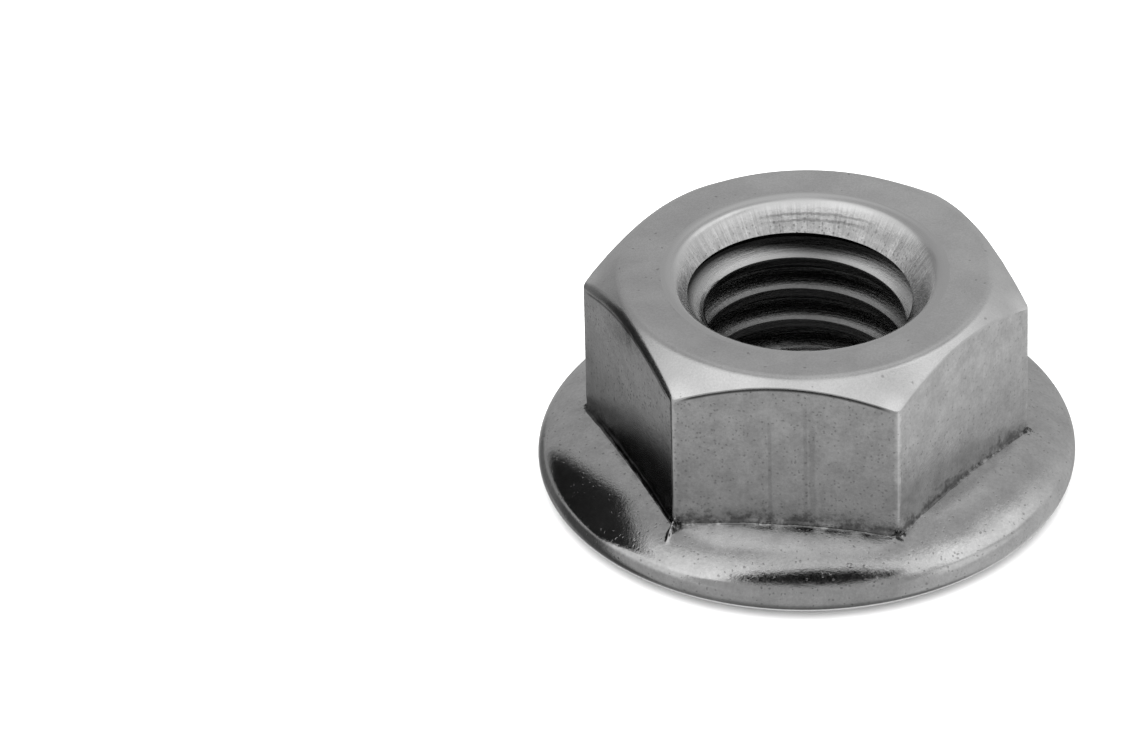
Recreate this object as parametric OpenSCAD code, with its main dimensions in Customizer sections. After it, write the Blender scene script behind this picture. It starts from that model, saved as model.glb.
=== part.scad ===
// Serrated flange nut, M8, forged in one piece.
// The bearing face lies at z = 0 and the hexagon stands up along +Z.

/* [Hexagon] */
// Width across the flats
across_flats = 12.9; // [12.7:0.05:13]
// Radius to which the six upright corners are rounded off
corner_r = 7.4; // [7.3:0.01:7.42]
// Height from the bearing face to the top face
nut_h = 7.75; // [7.2:0.05:8]
// Radius of the flat circle on the top face
top_flat_r = 6.13; // [5.8:0.01:6.3]
// Slope of the chamfer round the top face, in degrees
chamfer_slope = 36; // [25:1:40]

/* [Flange] */
// Diameter over the rim
flange_d = 18; // [17.4:0.1:18.4]
// Height at which the rim is widest
rim_z = 0.7; // [0.62:0.02:0.76]
// Radius of the rounded rim, seen in section
rim_r = 0.55; // [0.4:0.05:0.6]
// How far the rim's round goes below level before the underside begins, in degrees
under_angle = 55; // [45:1:60]
// Height of the flange at the middle of a flat
shoulder_z = 2.1; // [2:0.05:2.3]
// Slope of the flange at the middle of a flat, in degrees
shoulder_slope = 11; // [6:1:12]

/* [Threaded hole] */
// Radius of the hole at the crests of the thread
bore_r = 3.34; // [3.32:0.01:3.45]
// Radius at which the cone of the upper mouth would meet the top face
mouth_r = 4.4; // [4.2:0.05:4.6]
// Radius of the soft lip round the upper mouth
lip_r = 0.45; // [0.2:0.05:0.7]
// Slope of the cone in both mouths, in degrees
mouth_slope = 45; // [35:1:55]

/* [Recess underneath] */
// Outer radius of the recess, where the serrations end
recess_r = 6.45; // [6.2:0.05:6.7]
// Radius at which the edge of the recess turns into its cone
recess_edge_r = 6.1; // [6:0.02:6.16]
// Height of that turn above the bearing face
recess_edge_z = 0.45; // [0.3:0.05:0.6]
// Outer radius of the flat ring at the bottom of the recess
ring_outer_r = 4.9; // [4.7:0.05:5.2]
// Inner radius of the flat ring, where the lower mouth begins
ring_inner_r = 4.5; // [4.3:0.05:4.6]
// Height of the flat ring above the bearing face
ring_z = 1.5; // [1.2:0.05:1.8]

/* [Serrations] */
// Number of serrations
serration_n = 24; // [18:1:30]
// Radius of the arc that each crest follows
sweep_r = 15; // [12:0.5:20]
// Radius from the hole's axis to the outer end of that arc
crest_outer_r = 8.6; // [8.4:0.05:8.7]
// Lean of a crest away from the radial line at its outer end, in degrees
crest_lean = 25; // [15:1:30]
// Width of the narrow land along each crest
land_w = 0.12; // [0.06:0.02:0.2]
// Slope of the floor beside the crest, in degrees
floor_start_slope = 14; // [8:1:18]
// Slope of the floor further on, in degrees
floor_end_slope = 5.5; // [3:0.5:8]
// Distance from the crest at which the floor's slope changes
floor_turn = 0.7; // [0.4:0.05:1]
// Slope of the steep wall up to the next crest, in degrees
wall_slope = 45; // [35:1:65]
// Radius at which the deep end of a floor stops, at the level of the bearing face
floor_outer_r = 8.78; // [8.6:0.02:8.84]
// Slope of the short wall that stops it, in degrees
floor_stop_slope = 60; // [45:1:75]

/* [Hidden] */
$fn = 144;

// How far a cutting shape reaches past the face that it cuts
past = 0.3;
steel = [0.66, 0.66, 0.67];

// Rim and shoulder, as three arcs that run into each other
rim_centre = [flange_d / 2 - rim_r, rim_z];
under_r = (rim_z - rim_r * sin(under_angle)) / (1 - sin(under_angle));
under_centre = [rim_centre.x - (under_r - rim_r) * cos(under_angle), under_r];
flat_r = across_flats / 2;
shoulder_run = rim_centre.x - flat_r;
shoulder_rise = shoulder_z - rim_z;
shoulder_r = (pow(shoulder_run, 2) + pow(shoulder_rise, 2) - pow(rim_r, 2))
    / (shoulder_rise * cos(shoulder_slope) - shoulder_run * sin(shoulder_slope) - rim_r) / 2;
shoulder_centre = [flat_r - shoulder_r * sin(shoulder_slope),
                   shoulder_z - shoulder_r * cos(shoulder_slope)];
shoulder_start = atan2(rim_centre.y - shoulder_centre.y, rim_centre.x - shoulder_centre.x);
// The shoulder carries on this far under the hexagon
shoulder_end = 90 - shoulder_slope + 3;

// Chords along each arc of the section
under_chords = 4;
rim_chords = 9;
shoulder_chords = 6;
lip_chords = 4;

// Centre of the soft lip, which touches the top face and the cone of the mouth
lip_centre = [mouth_r + lip_r * tan(mouth_slope / 2), nut_h - lip_r];
mouth_depth = (mouth_r - bore_r) * tan(mouth_slope);
lower_mouth_z = ring_z + (ring_inner_r - bore_r) * tan(mouth_slope);

// Each crest is an arc round a centre outside the nut
pitch = 360 / serration_n;
sweep_centre = [crest_outer_r + sweep_r * sin(crest_lean), -sweep_r * cos(crest_lean), 0];
floor_r = sweep_r - land_w / 2;
wall_r = sweep_r + land_w / 2;
floor_turn_z = floor_turn * tan(floor_start_slope);
// Width and height of the cutting shapes, more than any serration needs
floor_reach = 4;
floor_top_z = floor_turn_z + (floor_reach - floor_turn) * tan(floor_end_slope);
wall_top_z = 1;

function arc(centre, r, from, to, chords) =
    [for (i = [0 : chords]) centre + r * [cos(from + (to - from) * i / chords),
                                          sin(from + (to - from) * i / chords)]];

module hexagon() {
    corner_from_axis = flat_r / cos(30);
    chamfer_run = corner_from_axis - top_flat_r;
    chamfer_drop = chamfer_run * tan(chamfer_slope);
    intersection() {
        translate([0, 0, rim_z])
            cylinder(h = nut_h - rim_z, r = corner_from_axis, $fn = 6);
        cylinder(h = nut_h + past, r = corner_r);
        // Solid up to the chamfer, then a cone that leaves the flat circle on top
        union() {
            cylinder(h = nut_h - chamfer_drop, r = corner_from_axis);
            translate([0, 0, nut_h - chamfer_drop])
                cylinder(h = chamfer_drop, r1 = corner_from_axis, r2 = top_flat_r);
        }
    }
}

module flange() {
    shoulder = arc(shoulder_centre, shoulder_r, shoulder_start, shoulder_end, shoulder_chords);
    rotate_extrude()
        polygon(concat(
            [[0, 0]],
            arc(under_centre, under_r, -90, -under_angle, under_chords),
            arc(rim_centre, rim_r, -under_angle, shoulder_start, rim_chords),
            shoulder,
            [[0, shoulder[shoulder_chords].y]]));
}

// Threaded hole with its upper mouth, its lower mouth and the recess underneath
module opening() {
    rotate_extrude()
        polygon(concat(
            [[0, -past], [recess_r, -past], [recess_r, 0],
             [recess_edge_r, recess_edge_z],
             [ring_outer_r, ring_z], [ring_inner_r, ring_z],
             [bore_r, lower_mouth_z], [bore_r, nut_h - mouth_depth]],
            arc(lip_centre, lip_r, 90 + mouth_slope, 90, lip_chords),
            [[lip_centre.x, nut_h + past], [0, nut_h + past]]));
}

// Everything between one floor, at its full width, and the bearing face
module floor_cone() {
    translate(sweep_centre)
        rotate_extrude()
            polygon([[0, -past], [floor_r, -past], [floor_r, 0],
                     [floor_r - floor_turn, floor_turn_z],
                     [floor_r - floor_reach, floor_top_z], [0, floor_top_z]]);
}

// What stays standing behind a steep wall
module wall_cone() {
    translate(sweep_centre)
        rotate_extrude()
            polygon([[0, -2 * past], [wall_r, -2 * past], [wall_r, 0],
                     [wall_r + wall_top_z / tan(wall_slope), wall_top_z], [0, wall_top_z]]);
}

// One hollow between two crests: its floor dips away from one crest, and the steep wall
// climbs to the next one
module hollow() {
    stop_run = past / tan(floor_stop_slope);
    stop_rise = wall_top_z - past;
    intersection() {
        translate([0, 0, -past])
            cylinder(h = past + stop_rise, r1 = floor_outer_r + stop_run,
                     r2 = floor_outer_r - stop_rise / tan(floor_stop_slope));
        difference() {
            floor_cone();
            rotate([0, 0, -pitch]) wall_cone();
        }
    }
}

module flange_nut() {
    color(steel)
        difference() {
            union() {
                hexagon();
                flange();
            }
            opening();
            for (k = [0 : serration_n - 1])
                rotate([0, 0, k * pitch]) hollow();
        }
}

flange_nut();
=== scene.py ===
from math import acos, atan2, cos, degrees, exp, hypot, pi, radians, sin, sqrt, tan

import bpy
from mathutils import Matrix, Vector, noise


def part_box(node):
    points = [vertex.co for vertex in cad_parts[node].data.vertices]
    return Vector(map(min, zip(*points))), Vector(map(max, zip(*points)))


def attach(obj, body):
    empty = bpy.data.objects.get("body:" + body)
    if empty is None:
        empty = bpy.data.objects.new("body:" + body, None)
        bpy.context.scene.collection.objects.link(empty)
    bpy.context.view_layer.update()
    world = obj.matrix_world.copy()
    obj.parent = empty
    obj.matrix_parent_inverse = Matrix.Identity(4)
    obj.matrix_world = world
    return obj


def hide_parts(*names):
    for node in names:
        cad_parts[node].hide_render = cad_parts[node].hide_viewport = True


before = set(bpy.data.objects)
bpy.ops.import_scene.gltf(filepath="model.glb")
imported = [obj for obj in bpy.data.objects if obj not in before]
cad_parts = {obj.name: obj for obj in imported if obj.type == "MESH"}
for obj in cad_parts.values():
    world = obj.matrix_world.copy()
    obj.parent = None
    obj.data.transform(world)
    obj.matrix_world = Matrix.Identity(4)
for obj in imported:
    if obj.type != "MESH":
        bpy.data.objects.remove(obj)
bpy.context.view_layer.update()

# Sizes of the nut, in millimetres. The flange and the height come from the frame.
MM = 0.001
low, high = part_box("flange_nut")
FLANGE_R = (high[0] - low[0]) / 2 / MM
NUT_H = (high[2] - low[2]) / MM
FLAT_R = 12.9 / 2
CORNER_ROUND = 0.25
TOP_FLAT_R = 6.13
TOP_EDGE_R = 0.5
CHAMFER_SLOPE = radians(36)
RIM_Z = 0.7
RIM_R = 0.55
UNDER_ANGLE = radians(55)
SHOULDER_Z = 2.1
SHOULDER_SLOPE = radians(11)
CREASE_REACH = 0.35
BORE_R = 3.34
ROOT_R = 4.0
PITCH = 1.25
CREST_Z = 0.6
MOUTH_R = 4.45
MOUTH_SLOPE = radians(53)
LIP_R = 0.68
LOWER_MOUTH_RISE = 0.8
RECESS_R = 6.45
RECESS_TURN = (6.1, 0.45)
RING_OUTER_R = 4.9
RING_INNER_R = 4.5
RING_Z = 1.5
SERRATIONS = 24
SWEEP_R = 15
CREST_OUTER_R = 8.6
CREST_LEAN = radians(25)
LAND_W = 0.12
FLOOR_START_SLOPE = radians(14)
FLOOR_END_SLOPE = radians(5.5)
FLOOR_TURN = 0.7
WALL_SLOPE = radians(45)
FLOOR_STOP_R = 8.78
FLOOR_STOP_SLOPE = radians(60)

# The surface is one grid: columns go round the axis, rows go round the section
COLUMNS_EACH = 20
COLUMNS = SERRATIONS * COLUMNS_EACH
COLUMN_STEP = 2 * pi / COLUMNS
# Columns on each side of an upright corner that crowd within an angle of it
CORNER_COLUMNS, CORNER_ANGLE = 7, radians(1.25)
# Columns of a serration: end of the land, turn of the floor, deepest line, top of the wall
LAND_COLUMN, TURN_COLUMN, VALLEY_COLUMN, WALL_COLUMN = 1, 8, 14, 18
THREAD_ROWS = 18
ROUND_ROWS = 5
MOUTH_ROWS, FLANGE_ROWS, RIM_ROWS, UNDER_ROWS = 2, 8, 14, 4
SERRATION_ROWS, RECESS_ROWS, RING_ROWS, LOW_CONE_ROWS = 12, 8, 3, 4
# Shares at which rows cut the straight stretches of the section.
# They stay close to each rounding, so that the flat faces shade as flat.
FACE_CUTS = [0.04, 0.5, 0.96, 1]
WALL_CUTS = [0.01, 0.05, 0.2, 0.45, 0.7, 0.9, 0.98, 1]
FOOT_CUTS = [0.08, 0.4, 1]
ROUND_CUTS = [[1]] * ROUND_ROWS


def blend(a, b, t):
    return a + (b - a) * t


def smooth(t):
    t = max(0.0, min(1.0, t))
    return t * t * (3 - 2 * t)


def new_object(name, data):
    made = bpy.data.objects.new(name, data)
    bpy.context.collection.objects.link(made)
    return made


def near(distance, reach):
    """1 at no distance, falling to 0 beyond the reach."""
    return exp(-(distance / reach) ** 2)


def solve(function, start, end, steps=30):
    """The place between start and end where a rising or falling function is zero."""
    rising = function(end) > function(start)
    for _ in range(steps):
        middle = (start + end) / 2
        if (function(middle) > 0) == rising:
            end = middle
        else:
            start = middle
    return (start + end) / 2


# Section of the hexagon and the flange

RIM_CENTRE = (FLANGE_R - RIM_R, RIM_Z)
UNDER_R = (RIM_Z - RIM_R * sin(UNDER_ANGLE)) / (1 - sin(UNDER_ANGLE))
UNDER_CENTRE = (RIM_CENTRE[0] - (UNDER_R - RIM_R) * cos(UNDER_ANGLE), UNDER_R)
RUN = RIM_CENTRE[0] - FLAT_R
RISE = SHOULDER_Z - RIM_Z
SHOULDER_R = (RUN ** 2 + RISE ** 2 - RIM_R ** 2) / (
    RISE * cos(SHOULDER_SLOPE) - RUN * sin(SHOULDER_SLOPE) - RIM_R) / 2
SHOULDER_CENTRE = (FLAT_R - SHOULDER_R * sin(SHOULDER_SLOPE),
                   SHOULDER_Z - SHOULDER_R * cos(SHOULDER_SLOPE))
RIM_TOP_ANGLE = atan2(RIM_CENTRE[1] - SHOULDER_CENTRE[1], RIM_CENTRE[0] - SHOULDER_CENTRE[0])

# Each flat, by the angle it faces: radius of its upper edge, darkness of the painted shade line
# under that, radius of the crease at its foot, and how much painted shade darkens it towards the
# foot
FLAT_EDGES = {30: (0.1, 0.3, 0.1, 0.2), 90: (0.08, 0.5, 0.12, 0.2), 150: (0.12, 0.3, 0.1, 0.2),
              210: (0.42, 0.8, 0.2, 0.6), 270: (0.07, 0.9, 0.18, 0.28),
              330: (0.1, 0.0, 0.1, 0.34)}


def flat_edge(angle):
    """The four values of the flat at an angle, blended across the corners."""
    around = degrees(angle) % 360
    first = int((around - 30) // 60) * 60 + 30
    share = smooth((around - first - 26) / 8)
    here, there = FLAT_EDGES[first % 360], FLAT_EDGES[(first + 60) % 360]
    return [blend(a, b, share) for a, b in zip(here, there)]


def off_corner(angle):
    """Angle from the nearest upright corner of the hexagon."""
    return abs((angle + pi / 6) % (pi / 3) - pi / 6)


def hexagon_r(angle):
    """Distance from the axis to the hexagon's outline, with its corners rounded."""
    off = off_corner(angle)
    centre = (FLAT_R - CORNER_ROUND) / cos(pi / 6)
    touch = atan2(CORNER_ROUND * sin(pi / 6), centre + CORNER_ROUND * cos(pi / 6))
    if off >= touch:
        return FLAT_R / cos(pi / 6 - off)
    return centre * cos(off) + sqrt(CORNER_ROUND ** 2 - (centre * sin(off)) ** 2)


def chamfer_z(r):
    return NUT_H - (r - TOP_FLAT_R) * tan(CHAMFER_SLOPE)


def shoulder_z(r):
    """Height of the flange's top at a radius."""
    return SHOULDER_CENTRE[1] + sqrt(SHOULDER_R ** 2 - (r - SHOULDER_CENTRE[0]) ** 2)


def underside_z(r):
    """Height of the plain underside, before the serrations."""
    if r > UNDER_CENTRE[0]:
        return UNDER_R - sqrt(UNDER_R ** 2 - (r - UNDER_CENTRE[0]) ** 2)
    if r > RECESS_R:
        return 0.0
    turn_r, turn_z = RECESS_TURN
    edge = (RECESS_R - r) * turn_z / (RECESS_R - turn_r)
    cone = turn_z + (turn_r - r) * (RING_Z - turn_z) / (turn_r - RING_OUTER_R)
    return min(edge, cone)


def rounded(corners):
    """The line through corners, given as (r, z, radius), with an arc at each inner one."""
    line = [corners[0][:2]]
    for before, here, after in zip(corners, corners[1:], corners[2:]):
        point = Vector(here[:2])
        back, on = Vector(before[:2]) - point, Vector(after[:2]) - point
        half = back.angle(on) / 2
        reach = min(here[2] / tan(half), 0.49 * back.length, 0.49 * on.length)
        radius = reach * tan(half)
        centre = point + (back.normalized() + on.normalized()).normalized() * (radius / sin(half))
        start = point + back.normalized() * reach - centre
        sweep = pi - 2 * half
        side = 1 if back.x * on.y - back.y * on.x < 0 else -1
        for k in range(ROUND_ROWS + 1):
            turn = side * sweep * k / ROUND_ROWS
            line.append((centre.x + start.x * cos(turn) - start.y * sin(turn),
                         centre.y + start.x * sin(turn) + start.y * cos(turn)))
    line.append(corners[-1][:2])
    return line


def divided(line, cuts):
    """The line with stretch k cut at the shares cuts[k] of its length."""
    out = [line[0]]
    for (r0, z0), (r1, z1), shares in zip(line, line[1:], cuts):
        out += [(blend(r0, r1, share), blend(z0, z1, share)) for share in shares]
    return out


def even_cuts(count):
    return [k / count for k in range(1, count + 1)]


def arc(centre, radius, start, end, steps):
    return [(centre[0] + radius * cos(start + (end - start) * k / steps),
             centre[1] + radius * sin(start + (end - start) * k / steps)) for k in range(steps + 1)]


# The two mouths

MOUTH_TOP_Z = NUT_H - (MOUTH_R - ROOT_R) * tan(MOUTH_SLOPE)
MOUTH_LOW_Z = RING_Z + (RING_INNER_R - ROOT_R) * LOWER_MOUTH_RISE
# Between these heights a mouth only grazes the crests
LOW_FINISH_Z = MOUTH_LOW_Z + 0.5
MOUTH_FINISH_Z = 6.5


def mouth_r(z):
    """Radius of whichever mouth cuts into the hole at a height."""
    upper = MOUTH_R - (NUT_H - z) / tan(MOUTH_SLOPE)
    return max(upper, RING_INNER_R - (z - RING_Z) / LOWER_MOUTH_RISE)


# The serrations

SWEEP_CENTRE = (CREST_OUTER_R + SWEEP_R * sin(CREST_LEAN), -SWEEP_R * cos(CREST_LEAN))
SWEEP_CENTRE_R = hypot(*SWEEP_CENTRE)
SWEEP_CENTRE_ANGLE = atan2(SWEEP_CENTRE[1], SWEEP_CENTRE[0])
SERRATION_STEP = 2 * pi / SERRATIONS
FLOOR_R = SWEEP_R - LAND_W / 2
WALL_R = SWEEP_R + LAND_W / 2
# Least height that counts as a hollow, and radii from which its two ends are looked for
LEAST_HOLLOW = 0.02
OUTER_END_FROM, INNER_END_FROM = 8.0, 5.9


def sweep_angle(r, distance):
    """Angle of the point at radius r that lies at a distance from the first arc's centre."""
    part = (r * r + SWEEP_CENTRE_R ** 2 - distance ** 2) / (2 * r * SWEEP_CENTRE_R)
    return SWEEP_CENTRE_ANGLE + acos(max(-1, min(1, part)))


def from_sweep(r, angle):
    """Distance from the first arc's centre."""
    return sqrt(r * r + SWEEP_CENTRE_R ** 2
                - 2 * r * SWEEP_CENTRE_R * cos(angle - SWEEP_CENTRE_ANGLE))


def floor_z(r, angle):
    run = max(0.0, FLOOR_R - from_sweep(r, angle))
    extra = tan(FLOOR_START_SLOPE) - tan(FLOOR_END_SLOPE)
    return tan(FLOOR_END_SLOPE) * run + extra * FLOOR_TURN * (1 - exp(-run / FLOOR_TURN))


def wall_z(r, angle):
    return max(0.0, from_sweep(r, angle + SERRATION_STEP) - WALL_R) * tan(WALL_SLOPE)


def stop_z(r):
    return max(0.0, FLOOR_STOP_R - r) * tan(FLOOR_STOP_SLOPE)


def hollow_z(r, angle):
    """Height of the first hollow at a place: the lowest of its floor, its wall and its stop."""
    return min(floor_z(r, angle), wall_z(r, angle), stop_z(r))


def serrated_z(r, angle):
    """Height of the underside at an angle inside the first serration."""
    return max(underside_z(r), hollow_z(r, angle))


def serration_angles(r):
    """Angles of one serration's columns at a radius, from its crest to just before the next."""
    crest = sweep_angle(r, SWEEP_R)
    floor_start = sweep_angle(r, FLOOR_R)
    turn = sweep_angle(r, FLOOR_R - FLOOR_TURN)
    wall_top = sweep_angle(r, WALL_R) - SERRATION_STEP
    valley = solve(lambda a: wall_z(r, a) - floor_z(r, a), floor_start, wall_top)
    marks = [(0, crest), (LAND_COLUMN, floor_start), (TURN_COLUMN, turn), (VALLEY_COLUMN, valley),
             (WALL_COLUMN, wall_top), (COLUMNS_EACH, crest - SERRATION_STEP)]
    angles = []
    for (n0, a0), (n1, a1) in zip(marks, marks[1:]):
        angles += [a0 + (a1 - a0) * k / (n1 - n0) for k in range(n1 - n0)]
    return angles


# Rows of the section. Each row gives, for a column, its angle, radius and height.

def hexagon_angle(column):
    """Columns of the hexagon crowd together at its corners."""
    per_corner = COLUMNS // 6
    corner = round(column / per_corner)
    off = column - corner * per_corner
    side = 1 if off >= 0 else -1
    off = abs(off)
    if off <= CORNER_COLUMNS:
        angle = CORNER_ANGLE * off / CORNER_COLUMNS
    else:
        spread = (off - CORNER_COLUMNS) / (per_corner / 2 - CORNER_COLUMNS)
        angle = CORNER_ANGLE + (pi / 6 - CORNER_ANGLE) * spread
    return -(corner * pi / 3 + side * angle)


def plain_angle(column):
    return -column * COLUMN_STEP


def upper_line(angle):
    """Section from the upper mouth over the top, down the hexagon to the flange."""
    hex_r = hexagon_r(angle)
    out_r = hex_r + CREASE_REACH
    edge_round, _, crease_round, _ = flat_edge(angle)
    corners = [(ROOT_R, MOUTH_TOP_Z, 0), (MOUTH_R, NUT_H, LIP_R), (TOP_FLAT_R, NUT_H, TOP_EDGE_R),
               (hex_r, chamfer_z(hex_r), edge_round), (hex_r, shoulder_z(hex_r), crease_round),
               (out_r, shoulder_z(out_r), 0)]
    cuts = ([even_cuts(MOUTH_ROWS)] + ROUND_CUTS + [FACE_CUTS] + ROUND_CUTS + [FACE_CUTS]
            + ROUND_CUTS + [WALL_CUTS] + ROUND_CUTS + [FOOT_CUTS])
    return divided(rounded(corners), cuts)


def column_rows(column):
    """Points of one column from the upper mouth to the rim."""
    wide = hexagon_angle(column)
    even = plain_angle(column)
    upper = upper_line(wide)
    # The columns leave the mouth evenly spaced and crowd by the time they reach the flat top
    top_row = MOUTH_ROWS + ROUND_ROWS + 1
    rows = [(blend(even, wide, smooth(k / top_row)), r, z) for k, (r, z) in enumerate(upper)]
    start_r = upper[-1][0]
    end_r = SHOULDER_CENTRE[0] + SHOULDER_R * cos(RIM_TOP_ANGLE)
    for share in even_cuts(FLANGE_ROWS):
        r = blend(start_r, end_r, share)
        rows.append((blend(wide, even, smooth(share)), r, shoulder_z(r)))
    for r, z in arc(RIM_CENTRE, RIM_R, RIM_TOP_ANGLE, -UNDER_ANGLE, RIM_ROWS)[1:]:
        rows.append((even, r, z))
    return rows


def serration_rows(column):
    """Points of one column under the flange, from the rim to the lower mouth."""
    which, place = divmod(column, COLUMNS_EACH)
    turn = -which * SERRATION_STEP
    even = plain_angle(column)

    def at(r):
        return serration_angles(r)[place]

    start_r = RIM_CENTRE[0] + RIM_R * cos(UNDER_ANGLE)
    outer_r = solve(lambda r: max(hollow_z(r, at(r)), LEAST_HOLLOW) - underside_z(r),
                    OUTER_END_FROM, start_r)
    inner_r = solve(lambda r: hollow_z(r, at(r)) - underside_z(r), INNER_END_FROM, RECESS_R)
    rows = []
    for share in even_cuts(UNDER_ROWS):
        r = blend(start_r, outer_r, share)
        angle = blend(even - turn, at(r), smooth(share))
        rows.append((angle + turn, r, serrated_z(r, angle)))
    for share in even_cuts(SERRATION_ROWS):
        r = blend(outer_r, inner_r, share)
        rows.append((at(r) + turn, r, serrated_z(r, at(r))))
    end_angle = at(inner_r) + turn
    for share in even_cuts(RECESS_ROWS):
        r = blend(inner_r, RING_OUTER_R, share)
        rows.append((blend(end_angle, even, smooth(share)), r, max(underside_z(r), rows[-1][2])))
    ring = [(RING_OUTER_R, RING_Z), (RING_INNER_R, RING_Z), (ROOT_R, MOUTH_LOW_Z)]
    for r, z in divided(ring, [even_cuts(RING_ROWS), even_cuts(LOW_CONE_ROWS)])[1:]:
        rows.append((even, r, z))
    return rows


# The thread

def thread_r(turn):
    """Radius of the thread at a place within one turn, 0 and 1 being the middle of a crest."""
    off = abs(turn - round(turn)) * PITCH
    crest_half, flank = PITCH / 8, (ROOT_R - BORE_R) * tan(pi / 6)
    return blend(BORE_R, ROOT_R, smooth((off - crest_half * 0.75) / (flank + crest_half * 0.5)))


def painted_crest_highlight(turn, angle):
    """Painted highlight on a crest's upper edge at a place within one turn: more at the hole's
    sides.
    """
    above = (turn - round(turn)) * PITCH
    side = smooth(abs(cos(angle)) * 1.2)
    reach = blend(0.16, 0.3, side)
    share = smooth((above - 0.04) / 0.1) * (1 - smooth((above - reach) / 0.2))
    return share * blend(0.9, 2.0, side)


def hole_point(turn, z):
    """Radius and height of a row in the hole, and whether a mouth cuts it there.

    The row next to a mouth's edge lies on the edge.
    """
    def cut(shift):
        return mouth_r(z + shift * PITCH) - thread_r(turn + shift)

    half_row = 0.5 / THREAD_ROWS
    if (cut(-half_row) > 0) != (cut(half_row) > 0):
        shift = solve(cut, -half_row, half_row)
        return thread_r(turn + shift), z + shift * PITCH, True
    return max(thread_r(turn), mouth_r(z)), z, cut(0) > 0


# Marks that wear, dirt and painted shade follow

# Radius of the walls near the corners
NEAR_CORNER_R = 7.2


def from_corner(angle):
    """Distance along the wall from the nearest upright corner of the hexagon."""
    return off_corner(angle) * NEAR_CORNER_R


def from_foot(angle, r, z):
    """Distance from the crease between hexagon and flange."""
    foot_r = hexagon_r(angle)
    return hypot(r - foot_r, z - shoulder_z(foot_r))


def from_edge(angle, r, z):
    """Distance from the edge between a flat and the chamfer."""
    edge_r = hexagon_r(angle)
    return hypot(r - edge_r, z - chamfer_z(edge_r) + flat_edge(angle)[0] * 0.5)


# The die folds the metal where each corner meets the flange:
# angle of the corner, turn of the fold on its way out, its length, height
FOLDS = [(0, 9, 0.5, 0.03), (60, -5, 0.4, 0.02), (120, 7, 0.5, 0.03), (180, -6, 0.4, 0.03),
         (240, 1.3, 0.75, 0.24), (300, 8, 0.45, 0.03)]
CORNER_OUT_R = 7.36
FOLD_HALF_W = 0.05
# The groove beside a fold: its share of the fold's height, distance from it and half width
GROOVE_DEPTH, GROOVE_OFF, GROOVE_HALF_W = 0.7, 0.12, 0.06
# Folds lie above a height and inside a radius, and their tops are marked up to a height
FOLD_FROM_Z, FOLD_TO_R, RIDGE_TO_Z = 1.2, 8.6, 3


def fold(angle, r):
    """Height of the small ridge that runs out from a corner, and the share that is its top."""
    height, ridge = 0.0, 0.0
    for at, turn, length, top in FOLDS:
        out = (r - CORNER_OUT_R) / length
        if out < -0.3 or out > 1:
            continue
        middle = radians(at + turn * max(0.0, out) ** 1.3)
        off = ((angle - middle + pi) % (2 * pi) - pi) * r
        share = near(off, FOLD_HALF_W) * (1 - smooth(out * 1.2 - 0.2))
        height += top * share
        groove = near(off - GROOVE_OFF, GROOVE_HALF_W) * (1 - smooth(out * 1.5))
        height -= GROOVE_DEPTH * top * groove
        ridge += share * smooth((top - 0.05) / 0.1)
    return height, ridge


# The surface wavers outside a radius and above a height
WAVER_FROM_R, WAVER_FROM_Z = 6.3, 0.3
# Below this height the flange and the crease waver, above it the chamfer's edge
CREASE_TOP_Z = 3.2
# How far they waver or sink
FLANGE_WAVE, CREASE_WAVE, CREASE_WANDER, CORNER_SINK, EDGE_WANDER = 0.008, 0.035, 0.03, 0.04, 0.012


def waver(angle, r, z, size, seed):
    """Smooth noise from -1 to 1 whose lumps measure about size, in millimetres."""
    return noise.noise(Vector((r * cos(angle) / size, r * sin(angle) / size, z / size + seed)))


def uneven(angle, r, z):
    """A forged surface is never quite true: the point moved by its dents and waves."""
    if r <= WAVER_FROM_R or z <= WAVER_FROM_Z:
        return angle, r, z
    if z >= CREASE_TOP_Z:
        edge = near(from_edge(angle, r, z), 0.1)
        return angle, r + EDGE_WANDER * edge * waver(angle, r, z, 0.5, 21), z
    foot = near(from_foot(angle, r, z), 0.2)
    corner = near(from_corner(angle), 0.35)
    flange = smooth((r - 6.6) / 0.8) * smooth((8.7 - r) / 0.4) * smooth((z - 0.9) / 0.3)
    z += FLANGE_WAVE * flange * waver(angle, r, z, 1.3, 3)
    z += CREASE_WAVE * foot * waver(angle, r, z, 0.5, 8)
    z += fold(angle, r)[0] if z > FOLD_FROM_Z and r < FOLD_TO_R else 0
    r += CREASE_WANDER * foot * waver(angle, r, z, 0.4, 15)
    r -= CORNER_SINK * foot * corner
    return angle, r, z


# The mesh

# Bands of rows, from the upper mouth to the lower one: finish and number of rows
BANDS = [("countersunk_steel", MOUTH_ROWS + ROUND_ROWS),
         ("faced_steel", 2 * (len(FACE_CUTS) + ROUND_ROWS)),
         ("drawn_steel", len(WALL_CUTS) + ROUND_ROWS),
         ("forged_steel", len(FOOT_CUTS) + FLANGE_ROWS + RIM_ROWS + UNDER_ROWS + SERRATION_ROWS),
         ("recess_steel", RECESS_ROWS + RING_ROWS),
         ("countersunk_steel", LOW_CONE_ROWS)]
# Share of a row within which the thread's rows end on a mouth's last row
ROW_END = 0.3
# Marks round the hexagon lie outside a radius and above a height
MARKS_FROM_R, MARKS_FROM_Z = 5, 1
# Edges sharper than this are shaded as edges
SHARP_ANGLE = radians(38)


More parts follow.
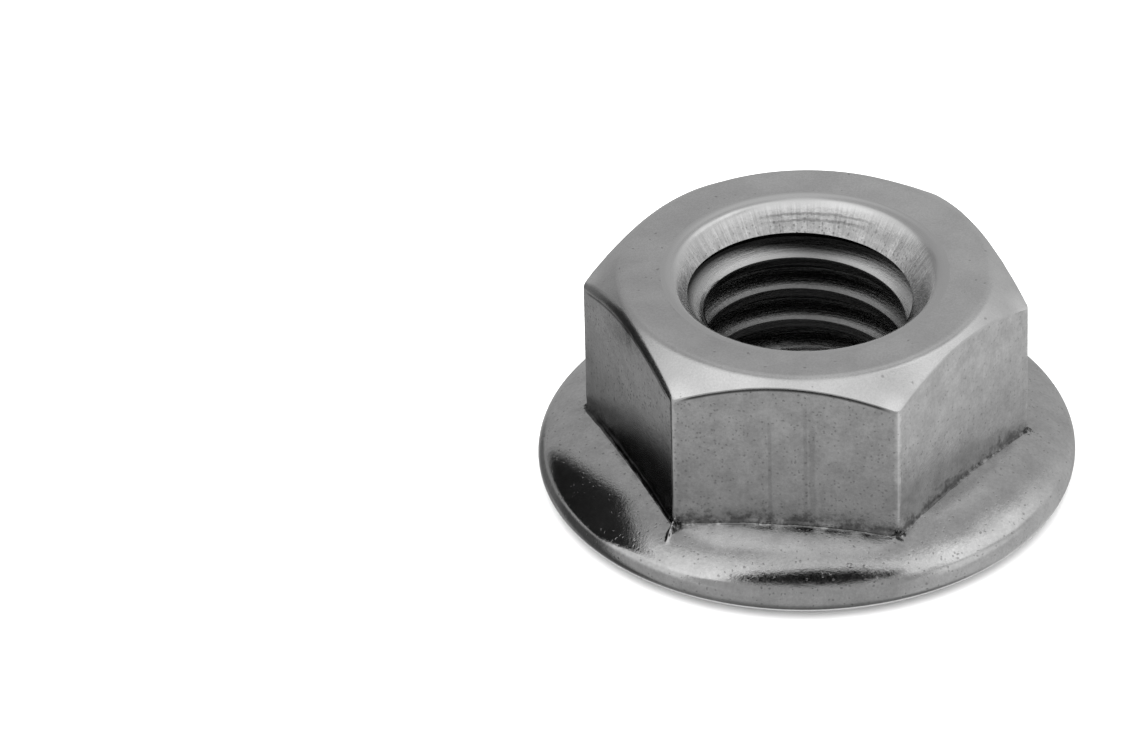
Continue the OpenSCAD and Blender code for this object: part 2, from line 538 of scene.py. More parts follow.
class Surface:
    """The nut's mesh as it is built: corners, faces with their finish, and marks on corners."""

    def __init__(self):
        self.vertices, self.faces, self.finishes = [], [], []
        self.marks = {}

    def mark(self, name, value):
        self.marks.setdefault(name, []).append(value)

    def add(self, angle, r, z, outside=True, crest=0.0):
        """Adds a corner with its marks and returns its number."""
        if outside:
            angle, r, z = uneven(angle, r, z)
        self.vertices.append((r * cos(angle) * MM, r * sin(angle) * MM, z * MM))
        near_hex = outside and r > MARKS_FROM_R and z > MARKS_FROM_Z
        _, edge_shade, _, foot_shade = flat_edge(angle)
        self.mark("foot", min(1, from_foot(angle, r, z)) if near_hex else 1)
        self.mark("corner", min(1, from_corner(angle)) if near_hex else 1)
        self.mark("edge", min(1, from_edge(angle, r, z)) if near_hex else 1)
        self.mark("edge_shade", edge_shade if near_hex else 0)
        self.mark("foot_shade", foot_shade if near_hex else 0)
        self.mark("ridge", fold(angle, r)[1] if near_hex and z < RIDGE_TO_Z else 0)
        # The crest mark holds the painted highlight on the thread's crests
        self.mark("crest", crest)
        return len(self.vertices) - 1

    def add_face(self, corners, finish):
        self.faces.append(tuple(corners))
        self.finishes.append(finish)


def add_outside(surface):
    """Everything but the threaded hole, as a grid of corner numbers by column and row."""
    grid = []
    for column in range(COLUMNS):
        points = column_rows(column) + serration_rows(column)
        grid.append([surface.add(*point) for point in points])
    bands = [name for name, count in BANDS for _ in range(count)]
    for column in range(COLUMNS):
        here, there = grid[column], grid[(column + 1) % COLUMNS]
        for k, finish in enumerate(bands):
            surface.add_face((here[k], there[k], there[k + 1], here[k + 1]), finish)
    return grid


def add_thread(surface, grid):
    """The hole. Its rows climb with the turn and end at the two mouths.

    After a whole turn each row meets the one that starts a pitch higher.
    """
    row_h = PITCH / THREAD_ROWS
    first = int((MOUTH_LOW_Z - CREST_Z) / row_h) - THREAD_ROWS
    last = int((MOUTH_TOP_Z - CREST_Z) / row_h) + 2 * THREAD_ROWS
    thread, coned = {}, set()
    for column in range(COLUMNS + 1):
        angle = -plain_angle(column)
        mouths = grid[-column % COLUMNS]
        for k in range(first, last + 1):
            z = CREST_Z + k * row_h + PITCH * angle / (2 * pi)
            if z >= MOUTH_TOP_Z - row_h * ROW_END:
                thread[column, k] = mouths[0]
                coned.add(mouths[0])
            elif z <= MOUTH_LOW_Z + row_h * ROW_END:
                thread[column, k] = mouths[-1]
                coned.add(mouths[-1])
            elif column == COLUMNS:
                thread[column, k] = thread[0, k + THREAD_ROWS]
            else:
                turn = k / THREAD_ROWS
                r, z, in_mouth = hole_point(turn, z)
                # Painted highlight on the crest's upper edge
                light = painted_crest_highlight(turn, angle)
                thread[column, k] = surface.add(angle, r, z, outside=False, crest=light)
                if in_mouth and not LOW_FINISH_Z < z < MOUTH_FINISH_Z:
                    coned.add(thread[column, k])
    for column in range(COLUMNS):
        for k in range(first, last):
            corners = [thread[column, k], thread[column + 1, k],
                       thread[column + 1, k + 1], thread[column, k + 1]]
            face = [c for n, c in enumerate(corners) if c != corners[n - 1]]
            if len(set(face)) >= 3:
                in_cone = coned.issuperset(face)
                surface.add_face(face, "countersunk_steel" if in_cone else "tapped_steel")


def make_nut():
    surface = Surface()
    add_thread(surface, add_outside(surface))
    mesh = bpy.data.meshes.new("flange_nut_body")
    mesh.from_pydata(surface.vertices, [], surface.faces)
    slots = list(FINISHES)
    mesh.polygons.foreach_set("material_index", [slots.index(name) for name in surface.finishes])
    for name, values in surface.marks.items():
        mesh.attributes.new(name, "FLOAT", "POINT").data.foreach_set("value", values)
    nut = new_object("flange_nut_body", mesh)
    bpy.context.view_layer.objects.active = nut
    nut.select_set(True)
    bpy.ops.object.mode_set(mode="EDIT")
    bpy.ops.mesh.select_all(action="SELECT")
    bpy.ops.mesh.normals_make_consistent(inside=False)
    bpy.ops.object.mode_set(mode="OBJECT")
    mesh.shade_smooth()
    mesh.set_sharp_from_angle(angle=SHARP_ANGLE)
    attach(nut, "root")
    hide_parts("flange_nut")
    return nut


# Node helpers

def set_inputs(tree, node, values):
    """Each input takes a number or another node's output."""
    for name, value in values.items():
        if isinstance(value, bpy.types.NodeSocket):
            tree.links.new(value, node.inputs[name])
        else:
            node.inputs[name].default_value = value


def add_node(tree, kind, values=None, **settings):
    node = tree.nodes.new(kind)
    for name, value in settings.items():
        setattr(node, name, value)
    set_inputs(tree, node, values or {})
    return node


def maths(tree, operation, a, b=0.0, c=0.0):
    return add_node(tree, "ShaderNodeMath", {0: a, 1: b, 2: c}, operation=operation).outputs[0]


def vector_maths(tree, operation, a, b=(0, 0, 0)):
    return add_node(tree, "ShaderNodeVectorMath", {0: a, 1: b}, operation=operation).outputs[0]


def parts_of(tree, place):
    return add_node(tree, "ShaderNodeSeparateXYZ", {0: place}).outputs


def attribute(tree, name):
    return add_node(tree, "ShaderNodeAttribute", attribute_name=name).outputs["Fac"]


def ramp(tree, value, start, end, low=0.0, high=1.0):
    """Smooth step from low, where value is start, to high, where it is end."""
    return add_node(tree, "ShaderNodeMapRange",
                    {"Value": value, "From Min": start, "From Max": end, "To Min": low,
                     "To Max": high}, interpolation_type="SMOOTHSTEP").outputs["Result"]


def total(tree, start, *parts):
    """The start plus a share of each value, the parts being (value, share)."""
    for value, share in parts:
        start = maths(tree, "MULTIPLY_ADD", value, share, start)
    return start


def lower(tree, tone, mask, share):
    """The tone with a share of it taken off where the mask is 1."""
    return maths(tree, "MULTIPLY", tone,
                 maths(tree, "SUBTRACT", 1.0, maths(tree, "MULTIPLY", mask, share)))


def towards(tree, value, goal, share):
    """The value, moved towards the goal by a share of the way."""
    change = maths(tree, "MULTIPLY", share, maths(tree, "SUBTRACT", goal, value))
    return maths(tree, "ADD", value, change)


def noise_node(tree, place, scale, detail, roughness=0.5):
    return add_node(tree, "ShaderNodeTexNoise", {"Vector": place, "Scale": scale,
                                                 "Detail": detail, "Roughness": roughness}).outputs


def new_group(name, inputs, output):
    """A shader node group, its inputs and its output. An input without a number is a vector."""
    group = bpy.data.node_groups.new(name, "ShaderNodeTree")
    for socket, default in inputs:
        kind = "NodeSocketVector" if default is None else "NodeSocketFloat"
        made = group.interface.new_socket(socket, in_out="INPUT", socket_type=kind)
        if default is not None:
            made.default_value = default
    group.interface.new_socket(output, in_out="OUTPUT", socket_type="NodeSocketFloat")
    given = group.nodes.new("NodeGroupInput").outputs
    return group, given, group.nodes.new("NodeGroupOutput").inputs[output]


def use_group(tree, group, values):
    node = add_node(tree, "ShaderNodeGroup", node_tree=group)
    set_inputs(tree, node, values)
    return node.outputs


# Effects that more than one finish uses. Places and sizes are in millimetres.

def mottle_group():
    """Soft blotches over a surface, from 0 to 1."""
    group, given, out = new_group("mottle", [("Place", None), ("Size", 1.0), ("Roughness", 0.6)],
                                  "Tone")
    scale = maths(group, "DIVIDE", 1.0, given["Size"])
    texture = noise_node(group, given["Place"], scale, 5.0, given["Roughness"])
    group.links.new(ramp(group, texture[0], 0.3, 0.7), out)
    return group


def speck_group():
    """Small separate spots. Amount is the share of the cells, each Size across, with a spot."""
    group, given, out = new_group("specks", [("Place", None), ("Size", 0.1), ("Amount", 0.1)],
                                  "Mask")
    scale = maths(group, "DIVIDE", 1.0, given["Size"])
    wander = noise_node(group, given["Place"], scale, 2.0)["Color"]
    shift = add_node(group, "ShaderNodeVectorMath", {0: wander, "Scale": given["Size"]},
                     operation="SCALE").outputs[0]
    bent = vector_maths(group, "ADD", given["Place"], shift)
    cells = add_node(group, "ShaderNodeTexVoronoi", {"Vector": bent, "Scale": scale}).outputs
    chance = add_node(group, "ShaderNodeSeparateColor", {0: cells["Color"]}).outputs
    chosen = maths(group, "LESS_THAN", chance[0], given["Amount"])
    reach = maths(group, "MULTIPLY_ADD", chance[1], 0.3, 0.15)
    spot = ramp(group, cells["Distance"], reach, maths(group, "MULTIPLY", reach, 0.5))
    group.links.new(maths(group, "MULTIPLY", spot, chosen), out)
    return group


def streak_group():
    """Fine lines that run along one direction, which the stretched place gives."""
    group, given, out = new_group("streaks", [("Place", None), ("Width", 0.1)], "Height")
    scale = maths(group, "DIVIDE", 1.0, given["Width"])
    texture = noise_node(group, given["Place"], scale, 4.0, 0.7)
    group.links.new(ramp(group, texture[0], 0.25, 0.75), out)
    return group


MOTTLE = mottle_group()
SPECKS = speck_group()
STREAKS = streak_group()


def mottle(tree, place, size, roughness):
    return use_group(tree, MOTTLE, {"Place": place, "Size": size, "Roughness": roughness})["Tone"]


def specks(tree, place, size, amount):
    return use_group(tree, SPECKS, {"Place": place, "Size": size, "Amount": amount})["Mask"]


def streaks(tree, place, width):
    return use_group(tree, STREAKS, {"Place": place, "Width": width})["Height"]


def from_axis(tree, place):
    flat = vector_maths(tree, "MULTIPLY", place, (1, 1, 0))
    return add_node(tree, "ShaderNodeVectorMath", {0: flat}, operation="LENGTH").outputs["Value"]


def ring_group():
    """Fine lines that run round the axis."""
    group, given, out = new_group("rings", [("Place", None), ("Width", 0.1)], "Height")
    section = add_node(group, "ShaderNodeCombineXYZ", {0: from_axis(group, given["Place"]),
                                                       1: parts_of(group, given["Place"])["Z"]})
    group.links.new(streaks(group, section.outputs[0], given["Width"]), out)
    return group


def crease_shade_and_dirt_group():
    """Painted shade and dirt in the crease round the hexagon: a thin broken line, clots at the
    corners, stains.
    """
    group, given, out = new_group(
        "crease_shade_and_dirt", [("Place", None), ("Foot", 1.0), ("Corner", 1.0), ("Ridge", 0.0),
                  ("Stained", 0.5), ("Lined", 0.5)], "Shade And Dirt")
    place, foot = given["Place"], given["Foot"]
    wander = mottle(group, place, 0.22, 0.7)
    # Painted shade: a thin broken dark line along the crease
    line = ramp(group, total(group, foot, (wander, 0.16)), 0.17, 0.07, 0.0, given["Lined"])
    reach = maths(group, "ADD", maths(group, "MULTIPLY", given["Corner"], 0.8), foot)
    clot = ramp(group, total(group, reach, (wander, 0.5)), 0.5, 0.36)
    wide = mottle(group, place, 0.8, 0.6)
    reach = total(group, foot, (wander, 0.4), (wide, 0.5))
    stain = ramp(group, reach, 0.95, 0.4, 0.0, given["Stained"])
    shade_and_dirt = maths(group, "MAXIMUM", maths(group, "MAXIMUM", line, clot), stain)
    group.links.new(lower(group, shade_and_dirt, given["Ridge"], 1.0), out)
    return group


RINGS = ring_group()
CREASE_SHADE_AND_DIRT = crease_shade_and_dirt_group()


def rings(tree, place, width):
    return use_group(tree, RINGS, {"Place": place, "Width": width})["Height"]


def crease_shade_and_dirt(tree, place, stained, lined):
    marks = {name.title(): attribute(tree, name) for name in ("foot", "corner", "ridge")}
    values = {"Place": place, "Stained": stained, "Lined": lined}
    return use_group(tree, CREASE_SHADE_AND_DIRT, values | marks)["Shade And Dirt"]


# The finishes

# Shares of the tone that pits, and painted shade with dirt, take off
PIT_DARK, SHADE_AND_DIRT_DARK = 0.3, 0.88


def new_material(name):
    material = bpy.data.materials.new(name)
    material.use_nodes = True
    return material, material.node_tree, material.node_tree.nodes["Principled BSDF"]


def steel(name):
    """A bare steel material: its tree, its shader and the place on the nut in millimetres."""
    material, tree, shader = new_material(name)
    shader.inputs["Metallic"].default_value = 1
    place = add_node(tree, "ShaderNodeTexCoord").outputs["Object"]
    return material, tree, shader, vector_maths(tree, "MULTIPLY", place, (1 / MM, 1 / MM, 1 / MM))


def set_finish(tree, shader, tone, roughness, height, depth):
    """Connects a grey tone, a roughness and a height to the shader. A height of 1 is depth mm."""
    grey = add_node(tree, "ShaderNodeCombineColor", {0: tone, 1: tone, 2: tone})
    tree.links.new(grey.outputs[0], shader.inputs["Base Color"])
    tree.links.new(roughness, shader.inputs["Roughness"])
    bump = add_node(tree, "ShaderNodeBump", {"Height": height, "Strength": 1.0,
                                             "Distance": depth * MM})
    tree.links.new(bump.outputs[0], shader.inputs["Normal"])


def forged_steel():
    """Flange and serrations: bright, softly blotched and pitted, with painted shade and dirt in the
    crease.
    """
    material, tree, shader, place = steel("forged_steel")
    blotch = mottle(tree, place, 0.8, 0.65)
    grain = mottle(tree, place, 0.12, 0.75)
    pits = specks(tree, place, 0.13, 0.3)
    # Painted shade and dirt in the crease
    shade_and_dirt = crease_shade_and_dirt(tree, place, 0.08, 0.35)
    tone = total(tree, 0.54, (blotch, 0.1), (grain, 0.1))
    tone = lower(tree, tone, pits, PIT_DARK)
    tone = lower(tree, tone, shade_and_dirt, SHADE_AND_DIRT_DARK)
    roughness = total(tree, 0.04, (grain, 0.04), (blotch, 0.03), (shade_and_dirt, 0.4))
    height = total(tree, 0.0, (blotch, 0.5), (grain, 0.35), (pits, -0.9))
    set_finish(tree, shader, tone, roughness, height, 0.0035)
    return material


# Lines scored in the front flat: place across it, half width, top, seed
SCORES = [(-0.52, 0.09, 6.6, 0.0), (0.66, 0.1, 7.2, 0.3), (0.88, 0.14, 6.8, 0.5)]
SCORE_WANDER = 0.08


def score(tree, place, at, width, top, seed):
    """An upright line that the die scored in the front flat, between the foot and top."""
    part = parts_of(tree, place)
    wander = noise_node(tree, place, 0.8 + seed, 2.0)[0]
    across = maths(tree, "SUBTRACT", total(tree, part["X"], (wander, SCORE_WANDER)),
                   at + SCORE_WANDER / 2)
    line = ramp(tree, maths(tree, "ABSOLUTE", across), width, width * 0.3)
    front = ramp(tree, part["Y"], -6.2, -6.35)
    tall = ramp(tree, part["Z"], top, top - 1.2)
    return maths(tree, "MULTIPLY", maths(tree, "MULTIPLY", line, front), tall)


def rubbed(tree, place):
    """1 along the upright corners, where the steel is rubbed bright."""
    wander = mottle(tree, place, 0.5, 0.7)
    return ramp(tree, total(tree, attribute(tree, "corner"), (wander, 0.14)), 0.22, 0.08)


def drawn_steel():
    """The flats: upright lines, grain and pits, a painted shade line under the chamfer, painted
    shade that darkens them towards the foot, and painted shade and dirt at the foot.
    """
    material, tree, shader, place = steel("drawn_steel")
    lines = streaks(tree, vector_maths(tree, "MULTIPLY", place, (1, 1, 0.04)), 0.2)
    blotch = mottle(tree, place, 0.7, 0.7)
    grain = mottle(tree, place, 0.11, 0.75)
    pits = specks(tree, place, 0.12, 0.35)
    # Painted shade and dirt in the crease
    shade_and_dirt = crease_shade_and_dirt(tree, place, 0.7, 0.85)
    # Painted shade: a dark line just under the edge of the chamfer, as dark as each flat's value
    edge = maths(tree, "MULTIPLY", ramp(tree, attribute(tree, "edge"), 0.13, 0.05),
                 attribute(tree, "edge_shade"))
    edge = maths(tree, "MULTIPLY", edge, ramp(tree, attribute(tree, "corner"), 0.1, 0.6))
    scores = [score(tree, place, *line) for line in SCORES]
    tone = total(tree, 0.51, (blotch, 0.18), (grain, 0.14), (lines, 0.04),
                 (rubbed(tree, place), 0.25))
    tone = lower(tree, tone, pits, PIT_DARK)
    # Painted shade: each flat darkens from the middle down to its foot, by its own share
    low_shade = ramp(tree, parts_of(tree, place)["Z"], 6.5, 2.2)
    tone = lower(tree, tone, low_shade, attribute(tree, "foot_shade"))
    for line in scores:
        tone = lower(tree, tone, line, 0.16)
    tone = lower(tree, tone, shade_and_dirt, SHADE_AND_DIRT_DARK)
    tone = lower(tree, tone, edge, 0.9)
    roughness = total(tree, 0.07, (lines, 0.04), (blotch, 0.04))
    height = total(tree, 0.0, (grain, 0.3), (lines, 0.3), (pits, -0.9),
                   *[(line, -0.4) for line in scores])
    set_finish(tree, shader, tone, roughness, height, 0.004)
    return material


def faced_steel():
    """Top face and chamfer: smooth, with painted shade darker towards the left front, brighter at
    the tips of the chamfer.
    """
    material, tree, shader, place = steel("faced_steel")
    blotch = mottle(tree, place, 1.6, 0.6)
    grain = mottle(tree, place, 0.07, 0.7)
    pits = specks(tree, place, 0.16, 0.05)
    part = parts_of(tree, place)
    # Painted shade: the tone falls from the right back towards the left front
    across = maths(tree, "ADD", part["X"], part["Y"])
    tip = maths(tree, "MULTIPLY", ramp(tree, attribute(tree, "corner"), 0.9, 0.1),
                ramp(tree, part["Z"], 7.4, 6.9))
    tone = total(tree, ramp(tree, across, -8.0, 8.0, 0.6, 0.7), (blotch, 0.08), (grain, 0.08),
                 (tip, 0.2))
    tone = lower(tree, tone, pits, PIT_DARK)
    roughness = total(tree, 0.2, (blotch, 0.06))
    height = total(tree, 0.0, (pits, -0.8), (grain, 0.3))
    set_finish(tree, shader, tone, roughness, height, 0.004)
    return material


# Radii of the lines that the tool turned in the upper mouth
TURNED_LINES = [4.0, 4.13]
TURNED_WANDER = 0.03


def turned_line(tree, place, radius, at):
    """A thin dark line round the back of the upper mouth, where the tool turned."""
    wander = mottle(tree, place, 0.35, 0.7)
    off = maths(tree, "SUBTRACT", total(tree, radius, (wander, TURNED_WANDER)),
                at + TURNED_WANDER / 2)
    line = ramp(tree, maths(tree, "ABSOLUTE", off), 0.04, 0.01)
    back = ramp(tree, parts_of(tree, place)["Y"], 3.5, 3.95)
    return maths(tree, "MULTIPLY", line, back)


# Distances from the grazed crests between which a cone darkens with painted shade
GRAZE_FAR, GRAZE_NEAR = 0.14, 0.05


def graze_shade(tree, height_mm):
    """1 between the heights where the mouths only graze the crests, rising softly before them:
    where the cone takes painted shade.
    """
    below = ramp(tree, height_mm, MOUTH_FINISH_Z + GRAZE_FAR, MOUTH_FINISH_Z + GRAZE_NEAR)
    above = ramp(tree, height_mm, LOW_FINISH_Z - GRAZE_FAR, LOW_FINISH_Z - GRAZE_NEAR)
    return maths(tree, "MULTIPLY", below, above)


def countersunk_steel():
    """The mouths: chatter down the slope of the upper one, fine turned rings in the lower one."""
    material, tree, shader, place = steel("countersunk_steel")
    radius = from_axis(tree, place)
    height_mm = parts_of(tree, place)["Z"]
    outwards = vector_maths(tree, "NORMALIZE", vector_maths(tree, "MULTIPLY", place, (1, 1, 0)))
    chatter = streaks(tree, vector_maths(tree, "MULTIPLY", outwards, (4, 4, 4)), 0.1)
    marks = towards(tree, rings(tree, place, 0.12), chatter, ramp(tree, height_mm, 4.5, 5.5))
    grain = mottle(tree, place, 0.12, 0.7)
    blotch = mottle(tree, place, 0.5, 0.7)
    flecks = specks(tree, vector_maths(tree, "MULTIPLY", place, (1, 1, 0.22)), 0.1, 0.9)
    inner = ramp(tree, radius, MOUTH_R - 0.15, MOUTH_R - 0.5)
    # Outwards the mouth rolls over into the top face and loses its marks
    rolled = ramp(tree, radius, MOUTH_R - 0.35, MOUTH_R)
    tone = total(tree, 0.58, (marks, 0.34), (grain, 0.12))
    tone = lower(tree, tone, maths(tree, "MULTIPLY", flecks, inner), 0.42)
    tone = lower(tree, tone, maths(tree, "MULTIPLY", blotch, inner), 0.3)
    for at in TURNED_LINES:
        tone = lower(tree, tone, turned_line(tree, place, radius, at), 0.38)
    tone = towards(tree, tone, 0.73, rolled)
    # Towards the turns the cone takes painted shade, as dark as they are
    tone = lower(tree, tone, graze_shade(tree, height_mm), 0.93)
    roughness = total(tree, 0.24, (marks, -0.06))
    height = total(tree, 0.0, (grain, 0.4), (marks, 0.8))
    height = lower(tree, height, rolled, 1.0)
    set_finish(tree, shader, tone, roughness, height, 0.01)
    return material


def recess_steel():
    """The recess underneath: dull, dark and grainy."""
    material, tree, shader, place = steel("recess_steel")
    blotch = mottle(tree, place, 0.5, 0.7)
    grain = mottle(tree, place, 0.09, 0.75)
    tone = total(tree, 0.3, (blotch, 0.12), (grain, 0.12))
    roughness = total(tree, 0.24, (grain, 0.1))
    height = total(tree, 0.0, (blotch, 0.4), (grain, 0.6))
    set_finish(tree, shader, tone, roughness, height, 0.008)
    return material


def tapped_steel():
    """The turns: dark with painted shade, with painted highlights on their upper edges that dim
    further down.
    """
    material, tree, shader, place = steel("tapped_steel")
    height_mm = parts_of(tree, place)["Z"]
    lines = rings(tree, place, 0.07)
    grain = mottle(tree, place, 0.12, 0.7)
    # The turns near the mouth face the light, but take the darkest painted shade
    tone = maths(tree, "MULTIPLY", total(tree, 0.7, (grain, 0.5), (lines, 0.5)),
                 ramp(tree, height_mm, 5.5, 6.5, 0.09, 0.018))
    # Painted highlight on the crests, dimmed by painted shade deeper in the hole
    light = maths(tree, "MULTIPLY", attribute(tree, "crest"),
                  ramp(tree, height_mm, 4.8, 6.4, 0.23, 1.0))
    tone = total(tree, tone, (light, 0.34))
    roughness = total(tree, 0.2, (lines, 0.1))
    height = total(tree, 0.0, (grain, 0.4), (lines, 0.5))
    set_finish(tree, shader, tone, roughness, height, 0.008)
    return material


# In the order of the nut's material slots
FINISHES = {"faced_steel": faced_steel, "drawn_steel": drawn_steel, "forged_steel": forged_steel,
            "countersunk_steel": countersunk_steel, "recess_steel": recess_steel,
            "tapped_steel": tapped_steel}


# Floor and cards

def staged(name, vertices, faces, material):
    mesh = bpy.data.meshes.new(name)
    mesh.from_pydata(vertices, [], faces)
    mesh.materials.append(material)
    piece = new_object(name, mesh)
    return piece


def plain_material(name, grey, roughness):
    material, tree, shader = new_material(name)
    shader.inputs["Base Color"].default_value = (grey, grey, grey, 1)
    shader.inputs["Roughness"].default_value = roughness
    return material, tree, shader


def floor_material(name, grey):
    """Plain from above and clear from below, so that the underside can be looked at."""
    material, tree, shader = plain_material(name, grey, 0.9)
    below = add_node(tree, "ShaderNodeNewGeometry").outputs["Backfacing"]
    passed = add_node(tree, "ShaderNodeLightPath").outputs["Transparent Depth"]
    clear = add_node(tree, "ShaderNodeBsdfTransparent").outputs[0]
    share = add_node(tree, "ShaderNodeMath", {0: below, 1: passed}, operation="ADD",
                     use_clamp=True).outputs[0]
    mix = add_node(tree, "ShaderNodeMixShader", {0: share, 1: shader.outputs[0], 2: clear})
    tree.links.new(mix.outputs[0], tree.nodes["Material Output"].inputs["Surface"])
    return material


FLOOR_SIDES = 64
DISC_R = 6.3 * MM
FLOOR_REACH = 2.0


def make_floor():
    """The floor in two parts: reflections in the steel see only the disc under the nut, a darker
    grey as painted shade.
    """
    sides = range(FLOOR_SIDES)
    turns = [2 * pi * k / FLOOR_SIDES for k in sides]
    inner = [(DISC_R * cos(a), DISC_R * sin(a), 0) for a in turns]
    outer = [(FLOOR_REACH * cos(a), FLOOR_REACH * sin(a), 0) for a in turns]
    ring = [(k, k + FLOOR_SIDES, (k + 1) % FLOOR_SIDES + FLOOR_SIDES, (k + 1) % FLOOR_SIDES)
            for k in sides]
    # The disc under the nut is a darker grey: painted shade where the nut keeps the light off
    staged("floor_under_nut", inner, [tuple(sides)], floor_material("painted_shade_floor", 0.25))
    wide = staged("floor", inner + outer, ring, floor_material("pale_floor", 0.9))
    wide.visible_glossy = False


# Cards round the nut that only reflections see, in millimetres
LEFT_CARD = [(-11, -7, 2.4), (-11, 1.4, 2.4), (-11, 1.4, 10.5), (-11, -7, 10.5)]
OVER_FRONT_Z = 6.3
STREAK_BACK = [(-3.1, -9.15), (-1.4, -8.7), (0.9, -8.2), (3.2, -7.95), (6.1, -7.5)]
STREAK_FRONT = [(5.8, -8.0), (3.5, -9.3), (1.0, -9.8), (-1.5, -9.8), (-3.0, -9.45)]
GREY_FRONT = [(10, -9.2), (11, -20), (-14, -20), (-6.5, -10.8)]
# Along Y a card is solid up to the first place and clear from the second
LEFT_FADE = (0.3, 1.4)


def over_front(outline):
    return [(x, y, OVER_FRONT_Z) for x, y in outline]


# Grey, glow, corners and fade of each card
CARDS = {
    "black_card_left": (0.002, 0.0, LEFT_CARD, LEFT_FADE),
    "black_card_front": (0.006, 0.0, over_front(STREAK_BACK + STREAK_FRONT), None),
    "grey_card_front": (0.0, 0.37, over_front(STREAK_FRONT[::-1] + GREY_FRONT), None),
}


def card_material(name, grey, glow, fade):
    material, tree, shader = plain_material(name, grey, 0.8)
    shader.inputs["Emission Color"].default_value = (1, 1, 1, 1)
    shader.inputs["Emission Strength"].default_value = glow
    if fade:
        solid, clear = fade
        along = parts_of(tree, add_node(tree, "ShaderNodeTexCoord").outputs["Object"])["Y"]
        tree.links.new(ramp(tree, along, clear * MM, solid * MM), shader.inputs["Alpha"])
    return material


def make_cards():
    for name, (grey, glow, corners, fade) in CARDS.items():
        places = [tuple(v * MM for v in corner) for corner in corners]
        material = card_material(name, grey, glow, fade)
        card = staged(name, places, [tuple(range(len(places)))], material)
        card.visible_camera = False
        card.visible_diffuse = False
        card.visible_shadow = False


# Camera: azimuth, elevation and roll of the view, and where the nut lies in it, in millimetres
IMAGE_W = 1127
FOCAL_PX = 10000
SENSOR_MM = 36
VIEW_AZ, VIEW_EL, VIEW_ROLL = radians(7.91), radians(34.644), radians(1.5)
NUT_RIGHT, NUT_DOWN, NUT_AWAY = 8.147, 2.745, 335.137
VIEW_BASE_Z = 0.69


def make_camera():
    back = Vector((sin(VIEW_AZ) * cos(VIEW_EL), -cos(VIEW_AZ) * cos(VIEW_EL), sin(VIEW_EL)))
    right = Vector((cos(VIEW_AZ), sin(VIEW_AZ), 0))
    up = back.cross(right)
    c, s = cos(VIEW_ROLL), sin(VIEW_ROLL)
    right, up = right * c - up * s, right * s + up * c
    place = Vector((0, 0, VIEW_BASE_Z)) - right * NUT_RIGHT + up * NUT_DOWN + back * NUT_AWAY
    turn = Matrix((right, up, back)).transposed().to_4x4()
    data = bpy.data.cameras.new("camera")
    data.sensor_fit = "HORIZONTAL"
    data.sensor_width = SENSOR_MM
    data.lens = SENSOR_MM * FOCAL_PX / IMAGE_W
    data.clip_start = 0.01
    data.clip_end = 20
    camera = new_object("camera", data)
    camera.matrix_world = Matrix.Translation(place * MM) @ turn
    return camera


# Light. The steel mirrors a studio painted in the world: a grey by height, and soft boxes.

# Elevation in degrees, and the grey there
HEIGHT_GREYS = [(-90, 0.12), (-65, 0.2), (-50, 0.32), (-35, 0.38), (45, 0.4), (76, 0.43),
                (88, 0.7)]
# Azimuth is 0 in front and grows to the right; both angles are in degrees
STUDIO_BOXES = [
    # name, azimuths, elevations, level, softness
    ("right_wall", (50, 150), (-55, 35), 0.54, 12),
    ("right_shade", (138, 166), (28, 62), 0.4, 6),
    ("right_inner", (64, 100), (16, 50), 0.75, 8),
    ("right_strip_low", (120, 140), (20, 38), 0.62, 5),
    ("right_strip_middle", (106, 132), (36, 52), 0.94, 5),
    ("right_strip_high", (92, 118), (50, 66), 1.12, 5),
    ("right_strip_top", (72, 104), (63, 80), 0.9, 5),
    ("back_wall", (150, 172), (-50, 45), 0.43, 10),
    ("back_shade", (170, 226), (-50, 45), 0.38, 6),
    ("back_light", (150, 202), (46, 80), 0.55, 8),
    ("low_light", (145, 220), (-78, -42), 0.8, 6),
    ("left_flag", (-118, -78), (-60, 12), 0.07, 9),
    ("left_wall", (-144, -114), (-60, 8), 0.13, 7),
    ("left_spot", (-137, -119), (-43, -27), 0.28, 3),
    ("left_shelf", (-148, -110), (8, 62), 0.36, 6),
    ("left_shade", (-136, -108), (10, 29), 0.24, 4),
    ("left_window", (-106, -58), (42, 80), 0.79, 6),
    ("front_light", (-74, 74), (40, 84), 0.84, 7),
    ("front_light_left", (-80, -22), (50, 80), 1.0, 5),
    ("low_light_left", (-108, -36), (18, 44), 0.75, 11),
]
FLOOR_LIGHT = 2.2


def studio_box_group():
    """1 inside a box of directions, falling softly to 0 at its sides."""
    names = [("Azimuth", 0.0), ("Elevation", 0.0), ("Middle Azimuth", 0.0), ("Half Width", 1.0),
             ("Middle Elevation", 0.0), ("Half Height", 1.0), ("Softness", 0.1)]
    group, given, out = new_group("studio_box", names, "Mask")
    turn = maths(group, "SUBTRACT", given["Azimuth"], given["Middle Azimuth"])
    turn = maths(group, "ABSOLUTE", maths(group, "WRAP", turn, -180.0, 180.0))
    rise = maths(group, "ABSOLUTE",
                 maths(group, "SUBTRACT", given["Elevation"], given["Middle Elevation"]))
    sides = []
    for value, half in ((turn, given["Half Width"]), (rise, given["Half Height"])):
        outer = maths(group, "ADD", half, given["Softness"])
        inner = maths(group, "SUBTRACT", half, given["Softness"])
        sides.append(ramp(group, value, outer, inner))
    group.links.new(maths(group, "MULTIPLY", *sides), out)
    return group


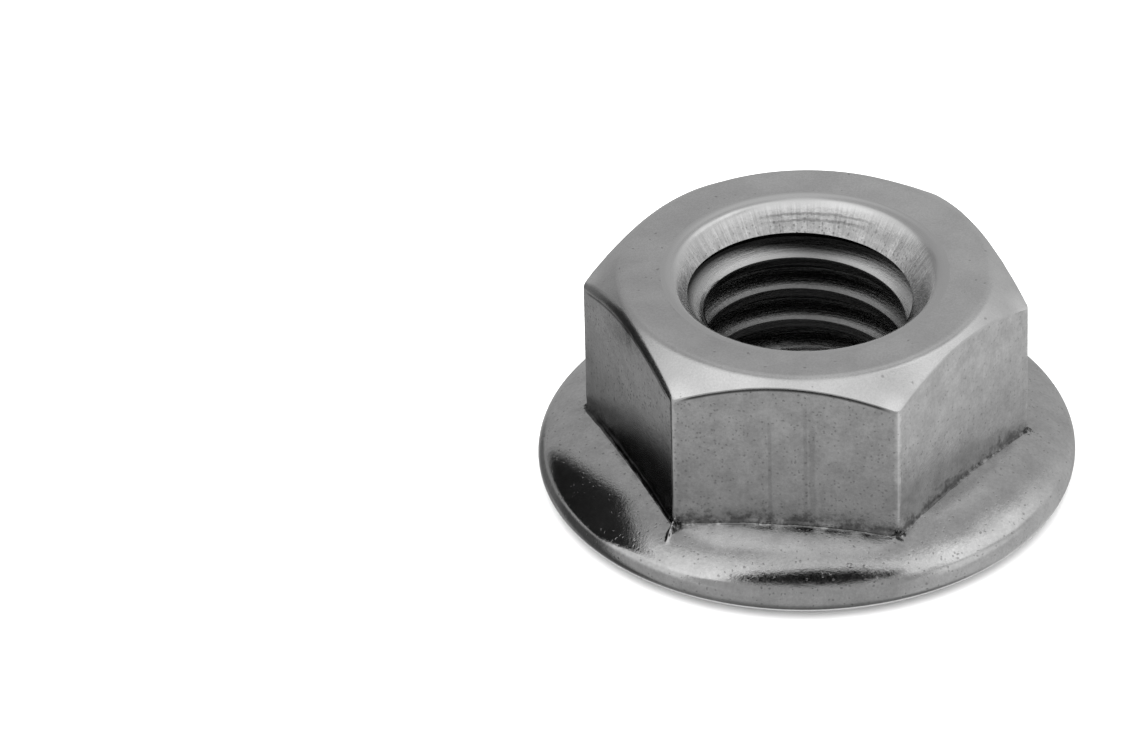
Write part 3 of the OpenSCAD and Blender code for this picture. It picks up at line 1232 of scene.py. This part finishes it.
def make_world():
    world = bpy.data.worlds.new("studio")
    world.use_nodes = True
    tree = world.node_tree
    part = parts_of(tree, add_node(tree, "ShaderNodeTexCoord").outputs["Generated"])
    front = maths(tree, "MULTIPLY", part["Y"], -1.0)
    azimuth = maths(tree, "DEGREES", maths(tree, "ARCTAN2", part["X"], front))
    elevation = maths(tree, "DEGREES", maths(tree, "ARCSINE", part["Z"]))
    level = HEIGHT_GREYS[0][1]
    for (e0, g0), (e1, g1) in zip(HEIGHT_GREYS, HEIGHT_GREYS[1:]):
        level = maths(tree, "ADD", level, ramp(tree, elevation, e0, e1, 0.0, g1 - g0))
    group = studio_box_group()
    for _, (a0, a1), (e0, e1), grey, softness in STUDIO_BOXES:
        mask = use_group(tree, group, {
            "Azimuth": azimuth, "Elevation": elevation, "Middle Azimuth": (a0 + a1) / 2,
            "Half Width": (a1 - a0) / 2, "Middle Elevation": (e0 + e1) / 2,
            "Half Height": (e1 - e0) / 2, "Softness": softness})["Mask"]
        level = towards(tree, level, grey, mask)
    # Only reflections see the studio: the camera sees plain white, and the floor an even light
    path = add_node(tree, "ShaderNodeLightPath").outputs
    plain = total(tree, 1.0, (path["Is Diffuse Ray"], FLOOR_LIGHT - 1.0))
    level = towards(tree, plain, level, path["Is Glossy Ray"])
    tree.links.new(level, tree.nodes["Background"].inputs["Color"])
    return world


def softbox(name, place, size, power):
    """A rectangle of light that shines on the nut and shows in no reflection. In metres."""
    data = bpy.data.lights.new(name, "AREA")
    data.shape = "RECTANGLE"
    data.size, data.size_y = size
    data.energy = power
    light = new_object(name, data)
    light.visible_glossy = False
    turn = Vector(place).to_track_quat("Z", "Y").to_matrix().to_4x4()
    light.matrix_world = Matrix.Translation(place) @ turn


nut = make_nut()
for make_finish in FINISHES.values():
    nut.data.materials.append(make_finish())
make_floor()
make_cards()
softbox("overhead", place=(0, -0.08, 0.4), size=(0.4, 0.3), power=0.5)
bpy.context.scene.world = make_world()
bpy.context.scene.camera = make_camera()
bpy.context.scene.view_settings.view_transform = "Standard"
